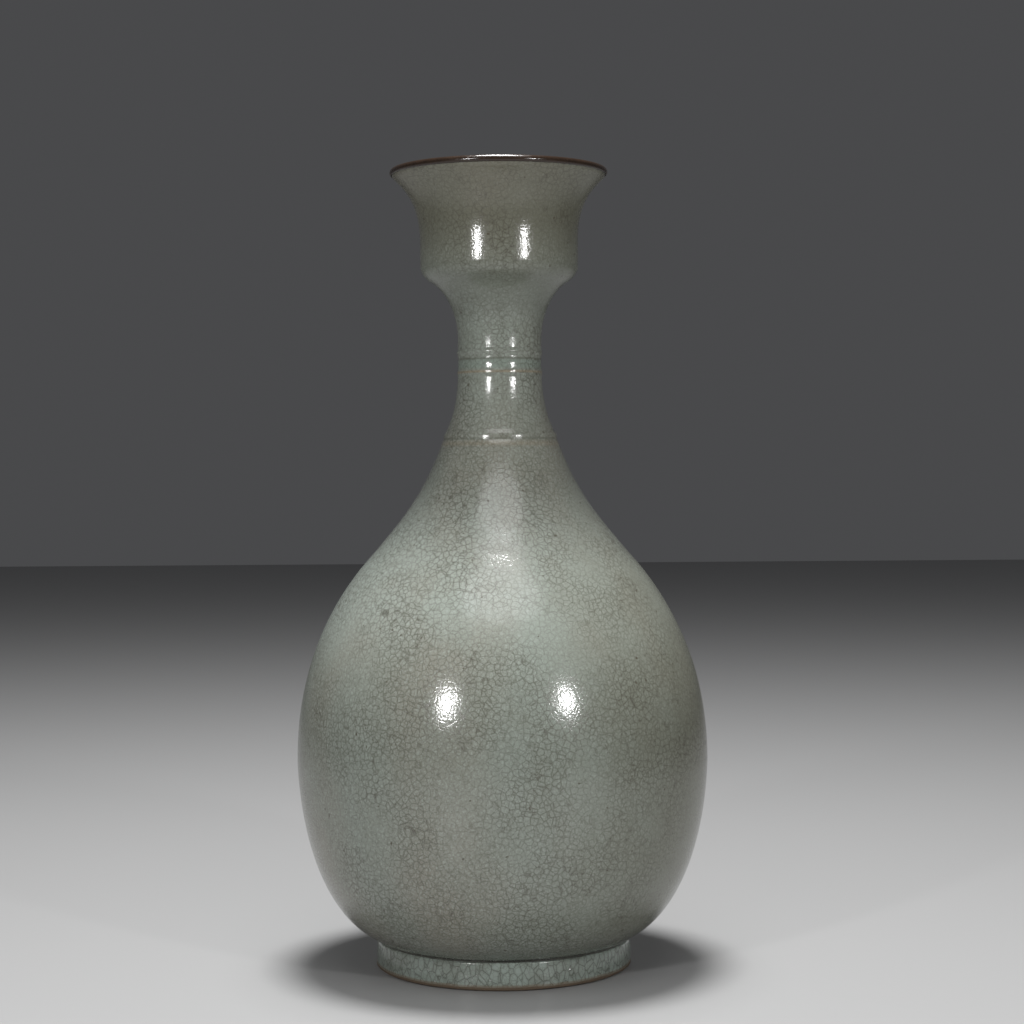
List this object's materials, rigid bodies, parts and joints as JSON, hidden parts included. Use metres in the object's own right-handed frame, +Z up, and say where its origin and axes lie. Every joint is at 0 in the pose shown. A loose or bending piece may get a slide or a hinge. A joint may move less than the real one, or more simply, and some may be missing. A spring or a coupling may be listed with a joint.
{
  "type": "dish-mouth vase",
  "caption": "Tall glazed stoneware vase with a full rounded body on a foot ring, a slender ringed neck and a deep dish-shaped mouth, for flowers or display.",
  "frame": {"origin": "centre of the foot ring's resting face, on the surface that the vase stands on", "axes": "+Z up along the axis the vase was thrown on, towards the mouth; the vase is round, so +X and +Y are any two directions square to it, and -Y faces the picture's viewer"},
  "size_m": [0.1806, 0.1806, 0.35],
  "materials": {
    "celadon_glaze": "glossy grey-green crackled glaze",
    "foot_ring": "glossy crackled glaze, bare brown stoneware on the resting edge",
    "luting_slip": "matte fired slip",
    "lip_dressing": "glossy iron-brown dressing"
  },
  "bodies": {
    "root": {"foot_ring": "foot_ring", "foot_luting": "luting_slip", "lower_body": "celadon_glaze", "belly_luting": "luting_slip", "upper_body": "celadon_glaze", "throat_luting": "luting_slip", "lower_neck": "celadon_glaze", "neck_luting": "luting_slip", "upper_neck": "celadon_glaze", "mouth_luting": "luting_slip", "dish_mouth": "celadon_glaze", "lip_dressing": "lip_dressing"}
  },
  "joints": []
}
